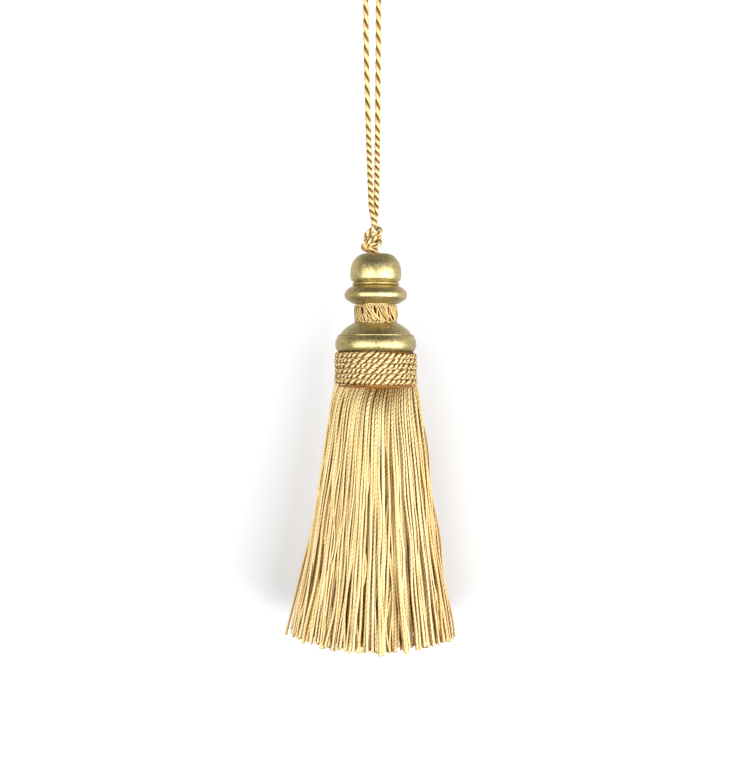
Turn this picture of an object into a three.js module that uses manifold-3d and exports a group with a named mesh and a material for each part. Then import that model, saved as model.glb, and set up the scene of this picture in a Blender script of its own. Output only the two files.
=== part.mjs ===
// A key tassel. A doubled silk cord is knotted into the top of a turned head, a gimp braid wraps the
// head's neck, cord is wound in rows under its bell, and a skirt of yarn hangs below.
// Millimetres, +Z up. The origin is the inside top of the cord's loop, where the tassel hangs.

import * as THREE from 'three';
import { mergeVertices } from 'three/addons/utils/BufferGeometryUtils.js';
import Module from 'manifold-3d';

const wasm = await Module();
wasm.setup();

const GAP = 0.3; // clearance between pieces that touch
const TURN = 2 * Math.PI;

// Head: its axis stands a little beside the loop, and its heights are measured up from the bell's foot.
const HEAD_AXIS_X = 1.4;
const HEAD_TOP_Z = -117.2;
const HEAD_HEIGHT = 36.9;
const HEAD_SEGMENTS = 32;
const NECK_RADIUS = 6.9;
const BORE_RADIUS = 2.6;
const BORE_DEPTH = 8;
const FOOT_Z = HEAD_TOP_Z - HEAD_HEIGHT;

// Turned mouldings from the bell's foot up. Each is one smooth curve through [height, radius] points.
const MOULDINGS = [
  { name: 'bell lip', samples: 4, curve: [[0, 14.1], [0.9, 14.7], [2.8, 15.2], [4.6, 15.0], [6.2, 14.1]] },
  { name: 'bell shoulder', samples: 3, curve: [[6.4, 13.6], [7.7, 12.7], [9.2, 11.2], [10.9, 8.5]] },
  { name: 'neck', samples: 1, curve: [[11.0, NECK_RADIUS], [18.0, NECK_RADIUS]] },
  { name: 'disc underside', samples: 2, curve: [[18.1, 8.1], [19.3, 9.9], [20.6, 11.4]] },
  { name: 'disc rim', samples: 3, curve: [[20.8, 11.6], [21.6, 11.8], [22.7, 11.6], [23.9, 10.5], [25.0, 8.6]] },
  { name: 'bead', samples: 2, curve: [[25.1, 8.5], [25.6, 8.9], [26.2, 8.6]] },
  { name: 'ball', samples: 6, curve: [[26.3, 8.7], [27.3, 9.4], [29.4, 9.6], [31.7, 9.4], [33.7, 8.8],
    [35.3, 7.6], [36.3, 6.5], [HEAD_HEIGHT, 5.2]] },
];

// Gimp braid round the neck
const GIMP = { thickness: 0.8, low: 11.3, high: 17.7, repeats: 11, columnsPerRepeat: 3, relief: 0.16, slant: 0.8 };

// Wound cord band: rows of two-ply cord, side by side. Its ply ridges lean and run on from row to row.
const BAND = { rows: 6, rowPitch: 1.95, innerRadius: 13.6, crestRadius: 15.4, grooveDepth: 0.55,
  pliesPerRow: 38, plyRelief: 0.16, lean: 1, innerRings: 4 };
const BAND_BOTTOM = -GAP - BAND.rows * BAND.rowPitch;

// Binding thread under the band
const BINDING = { height: 0.9, outerRadius: 15.3, bulge: 0.25, segments: 36 };
const BINDING_BOTTOM = BAND_BOTTOM - GAP - BINDING.height;

// Skirt heading: a plug inside the band and a flange under the binding, where the yarns are rooted
const HEADING = { flangeRadius: 15.1, flangeHeight: 1.2, segments: 36 };
const FLANGE_TOP = BINDING_BOTTOM - GAP;
const FLANGE_BOTTOM = FLANGE_TOP - HEADING.flangeHeight;
const ROOT_DEPTH = 0.7; // how far a lock's root reaches up into the flange

// Skirt locks in rings, outermost first
const SKIRT_LENGTH = 97.5;
const RINGS = [
  { count: 60, rootRadius: 14.2, hemRadius: 30.4, sides: 4, steps: 4 },
  { count: 48, rootRadius: 12.2, hemRadius: 25.7, sides: 3, steps: 2 },
  { count: 38, rootRadius: 10.0, hemRadius: 20.8, sides: 3, steps: 2 },
  { count: 28, rootRadius: 7.6, hemRadius: 15.7, sides: 3, steps: 1 },
  { count: 18, rootRadius: 5.2, hemRadius: 10.4, sides: 3, steps: 1 },
  { count: 9, rootRadius: 2.6, hemRadius: 5.0, sides: 3, steps: 1 },
];
const LOCK = { rootWidth: 0.95, hemFill: 0.78, rootThickness: 1.3, hemThickness: 3.0, rootCrowding: 1.7 };
const SPREAD = { shoulder: 0.15, shoulderDrop: 0.05, flare: 0.12 };
const WAVES = [{ around: 7, reach: 0.011, start: 0.4 }, { around: 12, reach: 0.005, start: 2.1 }];
const HEM_DRIFT_X = -2.6; // the skirt swings a little aside as it falls
const HEM_RAGGED = 1.1;

// Cord of two plies
const CORD_DIAMETER = 2.3;
const CORD_SIDES = 8;
const CORD_STEPS = 165;
const PLY_RELIEF = 0.17;
const TIGHT_TWIST_BELOW_Z = -71;
const TWIST_PITCH = { loose: 10, tight: 6.6 };

// Centre line of the cord from the knot up the left leg, over the bight and down the right leg
const LOOP_ROUTE = [
  [0.85, -1.25, -106.8], [0.65, -1.25, -105.0], [-0.1, -1.0, -101.5], [-0.4, -0.65, -98.0],
  [-0.6, -0.35, -93.0], [-0.95, -0.2, -83.1], [-1.45, -0.1, -68.5], [-1.75, 0, -56.1],
  [-2.1, 0, -43.8], [-2.25, 0, -32.0], [-2.4, 0, -22.0], [-3.1, 0, -15.0], [-4.1, 0, -9.0],
  [-4.7, 0, -3.55], [-3.32, 0, -0.23], [0, 0, 1.15], [3.32, 0, -0.23], [4.7, 0, -3.55],
  [4.1, 0, -9.0], [3.15, 0, -15.0], [2.5, 0, -22.0], [2.4, 0, -32.0], [2.35, 0, -43.8],
  [2.2, 0, -56.1], [2.1, 0.1, -68.5], [1.9, 0.2, -83.1], [1.75, 0.35, -93.0], [1.65, 0.65, -98.0],
  [1.45, 1.0, -101.5], [1.05, 1.25, -105.0], [0.85, 1.25, -106.8],
];

// Middle line of the doubled cord through the knot, from its centre, and the tails' way down the bore
const KNOT_CENTRE = [0.2, 0, -112];
const KNOT_ROUTE = [
  [0.65, 0, 4.7], [0.5, -0.1, 3.6], [-0.2, -0.6, 2.3], [-1.3, -1.5, 0.9], [-2.5, -1.0, -1.5], [-2.5, 0.9, -2.6],
  [-0.3, 2.0, -2.0], [1.9, 1.2, -1.3], [2.6, -0.7, 0.1], [2.2, -0.5, 1.8], [0.7, 1.3, 2.1],
  [-1.3, 1.7, 1.5], [-2.1, 0, 0.9], [-0.9, -1.9, 0.2], [0.8, -1.7, -1.4], [1.2, -0.4, -3.0],
  [0.75, 0, -4.6], [0.9, 0, -6.4], [1.0, 0, -9.0], [1.0, 0, -12.9],
];
const KNOT = { strandOffset: 1.1, strandRadius: 1.05, sides: 6, stepsPerStretch: 3, stretches: 10,
  coreRadius: 2.2 };

const finish = (colour, roughness, metalness) =>
  new THREE.MeshStandardMaterial({ color: colour, roughness, metalness });
const silkCord = finish('#dcbf7c', 0.45, 0);
const silkYarn = finish('#e6cf95', 0.4, 0);
const goldPaint = finish('#978748', 0.38, 0.85);
const brownThread = finish('#b0743c', 0.6, 0);

// A repeatable number from 0 to 1 for the nth lock
const scatter = (n) => {
  const value = Math.sin(n * 12.9898) * 43758.5453;
  return value - Math.floor(value);
};

// Keeps only the points, and joins those that the faces share
function weld(geometry) {
  geometry.deleteAttribute('normal');
  geometry.deleteAttribute('uv');
  return mergeVertices(geometry, 1e-4);
}

function movePoints(geometry, place) {
  const points = geometry.attributes.position;
  for (let i = 0; i < points.count; i++) {
    points.setXYZ(i, ...place(points.getX(i), points.getY(i), points.getZ(i)));
  }
  return geometry;
}

function toSolid(geometry) {
  const welded = geometry.index ? geometry : weld(geometry);
  return new wasm.Manifold(new wasm.Mesh({
    numProp: 3,
    vertProperties: new Float32Array(welded.attributes.position.array),
    triVerts: new Uint32Array(welded.index.array),
  }));
}

function toGeometry(solid) {
  const mesh = solid.getMesh();
  const geometry = new THREE.BufferGeometry();
  geometry.setAttribute('position', new THREE.BufferAttribute(mesh.vertProperties, 3));
  geometry.setIndex(new THREE.BufferAttribute(mesh.triVerts, 1));
  return geometry;
}

// Turns a profile of [radius, height] points round the Z axis
function turned(profile, segments) {
  const lathe = new THREE.LatheGeometry(profile.map(([r, h]) => new THREE.Vector2(r, h)), segments);
  return weld(lathe.rotateX(Math.PI / 2));
}

function headGeometry() {
  const outline = MOULDINGS.flatMap(({ curve, samples }) => {
    const spline = new THREE.SplineCurve(curve.map(([h, r]) => new THREE.Vector2(r, h)));
    return spline.getPoints(samples).map((point) => [point.x, point.y]);
  });
  const boreFloor = HEAD_HEIGHT - BORE_DEPTH;
  return turned([[0, 0], ...outline, [BORE_RADIUS, HEAD_HEIGHT], [BORE_RADIUS, boreFloor], [0, boreFloor]],
    HEAD_SEGMENTS);
}

// A flat braid with two raised edges and slanting scrolls between them
function gimpGeometry() {
  const inner = NECK_RADIUS + GAP;
  const outer = inner + GIMP.thickness;
  const height = GIMP.high - GIMP.low;
  const edge = 0.12 * height;
  const profile = [
    [inner, GIMP.low], [outer - 0.2, GIMP.low], [outer, GIMP.low + edge], [outer - 0.15, GIMP.low + 2 * edge],
    [outer, GIMP.low + height / 2], [outer - 0.15, GIMP.high - 2 * edge], [outer, GIMP.high - edge],
    [outer - 0.2, GIMP.high], [inner, GIMP.high], [inner, GIMP.low],
  ];
  const braid = turned(profile, GIMP.repeats * GIMP.columnsPerRepeat);
  return movePoints(braid, (x, y, z) => {
    const radius = Math.hypot(x, y);
    const share = radius > inner + 0.1 ? GIMP.relief : 0;
    const scroll = Math.cos(GIMP.repeats * (Math.atan2(y, x) - (GIMP.slant * (z - GIMP.low)) / outer));
    const grown = 1 + (share * scroll) / radius;
    return [x * grown, y * grown, z];
  });
}

// One sleeve of cord rows. Its columns lean with the plies, so every other column is a ply's ridge.
function bandGeometry() {
  const { rows, rowPitch, innerRadius, crestRadius, grooveDepth, pliesPerRow, plyRelief, lean, innerRings } = BAND;
  const groove = crestRadius - grooveDepth;
  const outline = [[innerRadius, BAND_BOTTOM]];
  for (let row = 0; row < rows; row++) {
    const low = BAND_BOTTOM + row * rowPitch;
    outline.push([groove, low], [crestRadius, low + 0.28 * rowPitch], [crestRadius, low + 0.72 * rowPitch]);
  }
  outline.push([groove, -GAP]);
  for (let ring = 0; ring <= innerRings; ring++) {
    outline.push([innerRadius, THREE.MathUtils.lerp(-GAP, BAND_BOTTOM, ring / innerRings)]);
  }
  const columns = 2 * pliesPerRow;
  return movePoints(turned(outline, columns), (x, y, z) => {
    const radius = Math.hypot(x, y);
    const angle = Math.atan2(y, x);
    const ridge = Math.round((angle / TURN) * columns) % 2 === 0 ? 1 : -1;
    const crest = Math.max(0, (radius - groove) / grooveDepth);
    const raised = radius + ridge * crest * plyRelief;
    const leant = angle + (lean * z) / crestRadius;
    return [raised * Math.cos(leant), raised * Math.sin(leant), z];
  });
}

function bindingGeometry() {
  const { height, outerRadius, bulge, segments } = BINDING;
  const top = BINDING_BOTTOM + height;
  return turned([
    [BAND.innerRadius, BINDING_BOTTOM], [outerRadius - bulge, BINDING_BOTTOM],
    [outerRadius, BINDING_BOTTOM + height / 2], [outerRadius - bulge, top], [BAND.innerRadius, top],
    [BAND.innerRadius, BINDING_BOTTOM],
  ], segments);
}

function headingGeometry() {
  const plugRadius = BAND.innerRadius - GAP;
  return turned([
    [0, FLANGE_BOTTOM], [HEADING.flangeRadius, FLANGE_BOTTOM], [HEADING.flangeRadius, FLANGE_TOP],
    [plugRadius, FLANGE_TOP], [plugRadius, -GAP], [0, -GAP],
  ], HEADING.segments);
}

// How far the skirt has spread, from 0 at the roots to 1 at the hem, a share t of the way down
function spread(t) {
  const shoulder = SPREAD.shoulder * (1 - t) * (1 - Math.exp(-t / SPREAD.shoulderDrop));
  return (1 - SPREAD.flare) * t + SPREAD.flare * t ** 3 + shoulder;
}

// A polygon about the lock's middle line, one corner outwards, one unit out to its corners
function lockSection(sides) {
  const corners = Array.from({ length: sides }, (_, i) => {
    const angle = TURN / 4 + (i * TURN) / sides;
    return new THREE.Vector2(Math.cos(angle), Math.sin(angle));
  });
  return new THREE.Shape(corners);
}

// One lock of yarn: a tapered prism from its root in the flange to its cut end at the hem
function lockGeometry(ring, index, serial) {
  const { count, rootRadius, hemRadius, sides, steps } = ring;
  const bearing = (TURN * index) / count + serial;
  const length = SKIRT_LENGTH - HEM_RAGGED * scatter(serial * 100 + index);
  const hemWidth = ((TURN * hemRadius) / count) * LOCK.hemFill;
  const prism = new THREE.ExtrudeGeometry(lockSection(sides), { depth: 1, steps, bevelEnabled: false });
  return movePoints(prism, (u, v, along) => {
    const t = along ** LOCK.rootCrowding;
    const drop = -ROOT_DEPTH + t * (length + ROOT_DEPTH);
    const open = along === 0 ? 0 : spread(t);
    const wave = WAVES.reduce((sum, w) => sum + w.reach * Math.sin(w.around * bearing + w.start), 0);
    const angle = bearing + wave * t * t;
    const halfWidth = THREE.MathUtils.lerp(LOCK.rootWidth, hemWidth, open) / 2;
    const halfThickness = THREE.MathUtils.lerp(LOCK.rootThickness, LOCK.hemThickness, open) / 2;
    const radius = THREE.MathUtils.lerp(rootRadius, hemRadius, open) + v * halfThickness;
    const side = u * halfWidth;
    return [
      radius * Math.cos(angle) - side * Math.sin(angle) + HEM_DRIFT_X * t,
      radius * Math.sin(angle) + side * Math.cos(angle),
      FLANGE_BOTTOM - drop,
    ];
  });
}

// The heading with every lock's root fused into its flange
function skirtGeometry() {
  const locks = RINGS.flatMap((ring, serial) =>
    Array.from({ length: ring.count }, (_, index) => toSolid(lockGeometry(ring, index, serial))));
  return toGeometry(wasm.Manifold.union([toSolid(headingGeometry()), ...locks]));
}

const curveThrough = (points) =>
  new THREE.CatmullRomCurve3(points.map((point) => new THREE.Vector3(...point)), false, 'centripetal');

const roundSection = (radius, sides) => new THREE.Shape(Array.from({ length: sides }, (_, i) =>
  new THREE.Vector2(radius * Math.cos((i * TURN) / sides), radius * Math.sin((i * TURN) / sides))));

// A round tube along the route, its section then drawn into two lobes that turn as the plies do
function cordGeometry() {
  const path = curveThrough(LOOP_ROUTE);
  const section = roundSection(CORD_DIAMETER / 2, CORD_SIDES);
  const tube = weld(new THREE.ExtrudeGeometry(section, { steps: CORD_STEPS, extrudePath: path }));
  const centres = path.getSpacedPoints(CORD_STEPS);
  const frames = path.computeFrenetFrames(CORD_STEPS, false);
  const step = path.getLength() / CORD_STEPS;
  const turns = [0];
  for (let i = 1; i <= CORD_STEPS; i++) {
    const pitch = centres[i].z < TIGHT_TWIST_BELOW_Z ? TWIST_PITCH.tight : TWIST_PITCH.loose;
    turns.push(turns[i - 1] + (TURN * step) / pitch);
  }
  const point = new THREE.Vector3();
  return movePoints(tube, (x, y, z) => {
    point.set(x, y, z);
    const nearest = centres.reduce((best, centre, i) =>
      (centre.distanceTo(point) < centres[best].distanceTo(point) ? i : best), 0);
    const offset = point.clone().sub(centres[nearest]);
    const angle = Math.atan2(offset.dot(frames.binormals[nearest]), offset.dot(frames.normals[nearest]));
    const lobe = 1 - PLY_RELIEF + PLY_RELIEF * Math.cos(2 * (angle - turns[nearest]));
    return centres[nearest].clone().addScaledVector(offset, lobe).toArray();
  });
}

// A few steps of a strand, with the strand's own points and frames, so that stretches meet exactly
class Stretch extends THREE.Curve {
  constructor(points, frames, first) {
    super();
    this.points = points;
    this.frames = frames;
    this.first = first;
  }

  getSpacedPoints(steps) {
    return this.points.slice(this.first, this.first + steps + 1);
  }

  computeFrenetFrames(steps) {
    const cut = (vectors) => vectors.slice(this.first, this.first + steps + 1);
    const { tangents, normals, binormals } = this.frames;
    return { tangents: cut(tangents), normals: cut(normals), binormals: cut(binormals) };
  }
}

// One strand of the doubled cord through the knot, as stretches end to end. The two strands start
// one before the other and keep side by side as the doubled cord turns.
function knotStrand(side) {
  const middle = curveThrough(KNOT_ROUTE.map((point) => point.map((value, axis) => value + KNOT_CENTRE[axis])));
  const steps = KNOT.stretches * KNOT.stepsPerStretch;
  const { normals, binormals } = middle.computeFrenetFrames(steps, false);
  const turn = Math.atan2(binormals[0].y, normals[0].y);
  const strand = new THREE.CatmullRomCurve3(middle.getSpacedPoints(steps).map((point, i) => point
    .addScaledVector(normals[i], side * KNOT.strandOffset * Math.cos(turn))
    .addScaledVector(binormals[i], side * KNOT.strandOffset * Math.sin(turn))));
  const points = strand.getSpacedPoints(steps);
  const frames = strand.computeFrenetFrames(steps, false);
  const section = roundSection(KNOT.strandRadius, KNOT.sides);
  return Array.from({ length: KNOT.stretches }, (_, i) => {
    const path = new Stretch(points, frames, i * KNOT.stepsPerStretch);
    return toSolid(new THREE.ExtrudeGeometry(section, { steps: KNOT.stepsPerStretch, extrudePath: path }));
  });
}

// The knot's wraps fused into one body about a small core, with no sealed pocket left between them
function knotGeometry() {
  const core = new THREE.IcosahedronGeometry(KNOT.coreRadius, 1).translate(...KNOT_CENTRE);
  const knot = wasm.Manifold.union([toSolid(core), ...knotStrand(1), ...knotStrand(-1)]);
  const shells = knot.decompose();
  return toGeometry(shells.reduce((best, shell) => (shell.volume() > best.volume() ? shell : best)));
}

function piece(name, geometry, material) {
  geometry.computeVertexNormals();
  const mesh = new THREE.Mesh(geometry, material);
  mesh.name = name;
  return mesh;
}

const head = new THREE.Group();
head.position.set(HEAD_AXIS_X, 0, FOOT_Z);
head.add(piece('head', headGeometry(), goldPaint));
head.add(piece('neck_gimp', gimpGeometry(), silkCord));
head.add(piece('cord_band', bandGeometry(), silkCord));
head.add(piece('binding', bindingGeometry(), brownThread));
head.add(piece('skirt', skirtGeometry(), silkYarn));

const group = new THREE.Group();
group.add(piece('cord_loop', cordGeometry(), silkCord));
group.add(piece('cord_knot', knotGeometry(), silkCord));
group.add(head);

export default group;
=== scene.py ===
"""A key tassel: a knotted loop of two-ply silk cord, a turned head in satin gold paint with a gimp braid
round its neck, cord wound in rows under its bell, and a long skirt of silk yarn.

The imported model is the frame. Sizes in this script are millimetres, and meshes are written in metres.
"""

import logging
import math
from dataclasses import dataclass
from enum import Enum

import bpy
import numpy as np
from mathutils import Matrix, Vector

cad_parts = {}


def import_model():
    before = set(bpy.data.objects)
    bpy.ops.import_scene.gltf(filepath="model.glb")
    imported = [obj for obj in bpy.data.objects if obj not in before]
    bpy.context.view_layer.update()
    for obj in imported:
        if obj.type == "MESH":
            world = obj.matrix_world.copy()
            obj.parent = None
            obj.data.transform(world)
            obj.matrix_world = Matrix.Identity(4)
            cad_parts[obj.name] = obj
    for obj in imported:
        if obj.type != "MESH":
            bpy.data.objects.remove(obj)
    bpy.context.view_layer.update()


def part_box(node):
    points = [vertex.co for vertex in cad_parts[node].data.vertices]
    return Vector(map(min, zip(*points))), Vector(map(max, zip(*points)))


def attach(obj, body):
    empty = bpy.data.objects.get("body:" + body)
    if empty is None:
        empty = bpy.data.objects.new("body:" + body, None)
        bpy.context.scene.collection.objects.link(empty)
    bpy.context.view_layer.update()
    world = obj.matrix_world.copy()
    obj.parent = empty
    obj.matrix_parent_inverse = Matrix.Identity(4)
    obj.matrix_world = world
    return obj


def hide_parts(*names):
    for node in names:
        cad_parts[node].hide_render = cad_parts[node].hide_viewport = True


MM = 0.001
TURN = 2 * math.pi
# Points worked out between two points of a route, before they are spaced evenly.
SPAN_STEPS = 24
# A painted highlight: how much paler the crest of a ply is painted than its sides.
PAINTED_CREST_HIGHLIGHT = 0.8
Array = np.ndarray
log = logging.getLogger("tassel")


class Lay(Enum):
    """Which way the plies of a cord slant, seen with the cord upright."""

    S = -1
    Z = 1


# ---------------------------------------------------------------- paths and frames


def unit(vectors: Array) -> Array:
    """The vectors brought to length one, along the last axis."""
    return vectors / np.linalg.norm(vectors, axis=-1, keepdims=True)


def ease(values: Array, low: float, high: float) -> Array:
    """A smooth step from 0 at low to 1 at high: 3t squared minus 2t cubed."""
    t = np.clip((values - low) / (high - low), 0.0, 1.0)
    return t * t * (3 - 2 * t)


def curve_through(points: Array, step: float) -> Array:
    """A smooth curve through the points, as evenly spaced points.

    Between two points it is the cubic whose end slopes come from the neighbours, each span weighted by
    the square root of its length (a centripetal Catmull-Rom curve).

    Args:
        points: The route, n by 3.
        step: The spacing of the result.

    Returns:
        The curve's points, m by 3.
    """
    route = np.vstack([2 * points[0] - points[1], points, 2 * points[-1] - points[-2]])
    span = np.sqrt(np.linalg.norm(np.diff(route, axis=0), axis=1))[:, None]
    slope = np.diff(route, axis=0) / span
    across = (route[2:] - route[:-2]) / (span[1:] + span[:-1])
    tangent = slope[:-1] - across + slope[1:]
    t = np.linspace(0, 1, SPAN_STEPS + 1)[:-1][None, :, None]
    start, end = points[:-1, None], points[1:, None]
    leave, arrive = (tangent[:-1] * span[1:-1])[:, None], (tangent[1:] * span[1:-1])[:, None]
    cubic = (
        start
        + leave * t
        + (3 * (end - start) - 2 * leave - arrive) * t**2
        + (2 * (start - end) + leave + arrive) * t**3
    )
    return spaced(np.vstack([cubic.reshape(-1, 3), points[-1:]]), step)


def lengths_along(path: Array) -> Array:
    """The distance from the path's start at each of its points."""
    return np.concatenate([[0.0], np.cumsum(np.linalg.norm(np.diff(path, axis=0), axis=1))])


def spaced(path: Array, step: float) -> Array:
    """The path again, in evenly spaced points.

    Args:
        path: The path's points, n by 3.
        step: About how far apart the new points lie.

    Returns:
        The new points, m by 3.
    """
    along = lengths_along(path)
    places = np.linspace(0, along[-1], max(2, round(along[-1] / step) + 1))
    return np.stack([np.interp(places, along, path[:, axis]) for axis in range(3)], axis=1)


def carried_frames(paths: Array, first: Array) -> tuple[Array, Array]:
    """Normals and binormals that are carried along each path without turning about it.

    Args:
        paths: k paths of n points, k by n by 3.
        first: The side that each first normal points to, k by 3.

    Returns:
        The normals and the binormals, each k by n by 3.
    """
    tangents = unit(np.gradient(paths, axis=1))
    normals = np.empty_like(paths)
    side = first
    for ring in range(paths.shape[1]):
        tangent = tangents[:, ring]
        side = unit(side - tangent * np.sum(side * tangent, axis=-1, keepdims=True))
        normals[:, ring] = side
    return normals, np.cross(tangents, normals)


def flank(angle: Array) -> Array:
    """How far round a thread's side a point lies: 0 on its front, easing to 1 from its side on."""
    return ease(1 - np.cos(angle), 0.15, 1.1)


def polar(radius: Array, angle: Array, height: Array) -> Array:
    """Points from a radius, an angle and a height about the tassel's upright axis."""
    radius, angle, height = np.broadcast_arrays(radius, angle, height)
    return np.stack([radius * np.cos(angle), radius * np.sin(angle), height], axis=-1)


# ---------------------------------------------------------------- meshes


@dataclass
class Tubes:
    """Tubes on one grid: tube, ring along it and point around it.

    Attributes:
        points: The surface, k by n by m by 3.
        along: The distance along each tube at each ring, k by n.
        marks: Named values at the points, each k by n by m.
        closed: Whether each tube's last ring joins its first.
    """

    points: Array
    along: Array
    marks: dict[str, Array]
    closed: bool = False

    def faces(self) -> tuple[Array, Array]:
        """The faces: each quad joins two points of a ring to the same two of the next ring.

        Returns:
            The walls' quads, and the two ends of each open tube as faces of m corners.
        """
        tubes, rings, around = self.points.shape[:3]
        index = np.arange(tubes * rings * around).reshape(tubes, rings, around)
        ahead = np.roll(index, -1, axis=1) if self.closed else index[:, 1:]
        here = index if self.closed else index[:, :-1]
        quads = np.stack([here, np.roll(here, -1, 2), np.roll(ahead, -1, 2), ahead], axis=-1)
        if self.closed:
            return quads.reshape(-1, 4), np.empty((0, around), int)
        return quads.reshape(-1, 4), np.concatenate([index[:, 0, ::-1], index[:, -1]])

    def wall_uv(self) -> Array:
        """The map of the unrolled tubes.

        Returns:
            Each quad corner's place: millimetres along, and turns around.
        """
        rings, around = self.points.shape[1:3]
        spans = rings if self.closed else rings - 1
        along = np.concatenate([self.along, 2 * self.along[:, -1:] - self.along[:, -2:-1]], axis=1)
        low, high = along[:, :spans, None], along[:, 1 : spans + 1, None]
        column = np.arange(around)[None, None, :] / around
        low, high, column = np.broadcast_arrays(low, high, column)
        u = np.stack([low, low, high, high], axis=-1)
        v = np.stack([column, column + 1 / around, column + 1 / around, column], axis=-1)
        return np.stack([u, v], axis=-1).reshape(-1, 2)


def fill_mesh(
    name: str, points: Array, faces: list[Array], uv: Array, marks: dict[str, Array]
) -> bpy.types.Object:
    """A smooth mesh object with its place in its mesh.

    Args:
        name: The piece's name.
        points: The vertices in millimetres, n by 3.
        faces: Arrays of faces, one array for each number of corners.
        uv: The map at each face corner.
        marks: Named values at the vertices.

    Returns:
        The new object, linked to the scene.
    """
    mesh = bpy.data.meshes.new(name)
    corners = np.concatenate([block.ravel() for block in faces])
    sizes = np.concatenate([np.full(len(block), block.shape[1]) for block in faces])
    mesh.vertices.add(len(points))
    mesh.vertices.foreach_set("co", (points * MM).astype(np.float32).ravel())
    mesh.loops.add(len(corners))
    mesh.loops.foreach_set("vertex_index", corners.astype(np.int32))
    mesh.polygons.add(len(sizes))
    starts = np.concatenate([[0], np.cumsum(sizes)[:-1]])
    mesh.polygons.foreach_set("loop_start", starts.astype(np.int32))
    mesh.update(calc_edges=True)
    mesh.shade_smooth()
    layer = mesh.uv_layers.new(name="lay")
    layer.data.foreach_set("uv", uv.astype(np.float32).ravel())
    for key, values in marks.items():
        mark = mesh.attributes.new(key, "FLOAT", "POINT")
        mark.data.foreach_set("value", values.astype(np.float32).ravel())
    piece = bpy.data.objects.new(name, mesh)
    bpy.context.scene.collection.objects.link(piece)
    return piece


def tube_object(name: str, tubes: Tubes) -> bpy.types.Object:
    """A mesh object of the tubes, whose end faces all sit at the map's origin.

    Args:
        name: The piece's name.
        tubes: The tubes.

    Returns:
        The new object.
    """
    walls, ends = tubes.faces()
    uv = np.concatenate([tubes.wall_uv(), np.zeros((ends.size, 2))])
    blocks = [walls, ends] if len(ends) else [walls]
    return fill_mesh(name, tubes.points.reshape(-1, 3), blocks, uv, tubes.marks)


def lathe_object(
    name: str, profile: Array, segments: int, centre: tuple[float, float], groove: float = 0.0
) -> bpy.types.Object:
    """A profile of [radius, height] points turned about an upright axis.

    Args:
        name: The piece's name.
        profile: The outline from its foot on the axis to its top on the axis, n by 2.
        segments: Columns round the axis.
        centre: Where the axis stands, as x and y.
        groove: How deep it lies among threads, its "groove" mark, by which the silk paints shade on it.

    Returns:
        The new object.
    """
    inner = profile[1:-1]
    angle = np.arange(segments) / segments * TURN
    wall = polar(inner[:, None, 0], angle[None, :], inner[:, None, 1])
    poles = np.array([[0, 0, profile[0, 1]], [0, 0, profile[-1, 1]]])
    points = np.concatenate([wall.reshape(-1, 3), poles]) + [centre[0], centre[1], 0]
    index = np.arange(len(inner) * segments).reshape(len(inner), segments)
    here, ahead = index[:-1], index[1:]
    quads = np.stack([here, np.roll(here, -1, 1), np.roll(ahead, -1, 1), ahead], axis=-1)
    foot, top = len(points) - 2, len(points) - 1
    low, high = index[0], index[-1]
    fans = np.concatenate([
        np.stack([np.roll(low, -1), low, np.full(segments, foot)], axis=-1),
        np.stack([high, np.roll(high, -1), np.full(segments, top)], axis=-1),
    ])
    blocks = [quads.reshape(-1, 4), fans]
    uv = np.zeros((sum(block.size for block in blocks), 2))
    return fill_mesh(name, points, blocks, uv, {"groove": np.full(len(points), groove)})


def plied_section(around: int, depth: float) -> tuple[Array, Array]:
    """The outline of two plies pressed together: a round with two narrow grooves.

    The distance out at an angle is one less the depth times (1 - |cosine|) squared.

    Args:
        around: How many points.
        depth: How deep the grooves are, as a share of the cord's radius.

    Returns:
        The angles and the distances.
    """
    angle = np.arange(around) / around * TURN
    return angle, 1 - depth * (1 - np.abs(np.cos(angle))) ** 2


def plied_cord(
    paths: Array, radius: Array, turns: Array, first: Array, around: int, depth: float
) -> Tubes:
    """Two-ply cords along paths: the grooved section turned as it is carried along.

    Args:
        paths: k paths of n points, k by n by 3.
        radius: The cord's radius at each point, k by n.
        turns: How far the plies have turned, in radians, k by n.
        first: The side that each first normal points to, k by 3.
        around: Points round the section.
        depth: How deep the grooves are, as a share of the radius.

    Returns:
        The tubes, marked "groove" from 0 on a ply's crest to 1 between the plies, which paints shade
        there, and "shade", a painted highlight that makes the crests paler.
    """
    normals, binormals = carried_frames(paths, first)
    angle, reach = plied_section(around, depth)
    bearing = angle + turns[..., None]
    out = radius[..., None] * reach
    points = (
        paths[:, :, None]
        + (out * np.cos(bearing))[..., None] * normals[:, :, None]
        + (out * np.sin(bearing))[..., None] * binormals[:, :, None]
    )
    steps = np.linalg.norm(np.diff(paths, axis=1), axis=-1)
    along = np.concatenate([np.zeros((len(paths), 1)), np.cumsum(steps, axis=1)], axis=1)
    # Painted shade between the plies by the groove, and a painted highlight on the crests by the shade.
    groove = np.broadcast_to((1 - reach) / max(1 - reach.min(), 1e-6), out.shape)
    return Tubes(points, along, {"groove": groove, "shade": PAINTED_CREST_HIGHLIGHT * (1 - groove) ** 3})


# ---------------------------------------------------------------- materials


def srgb(code: str, alpha: float = 1.0) -> tuple[float, float, float, float]:
    """A colour as the linear values that a shader takes, by the usual curve of the sRGB standard.

    Args:
        code: The colour as "#" and six hex digits.
        alpha: How opaque it is.

    Returns:
        Red, green, blue and alpha, each from 0 to 1.
    """
    channels = [int(code[i : i + 2], 16) / 255 for i in (1, 3, 5)]
    linear = [c / 12.92 if c <= 0.04045 else ((c + 0.055) / 1.055) ** 2.4 for c in channels]
    return (linear[0], linear[1], linear[2], alpha)


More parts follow.
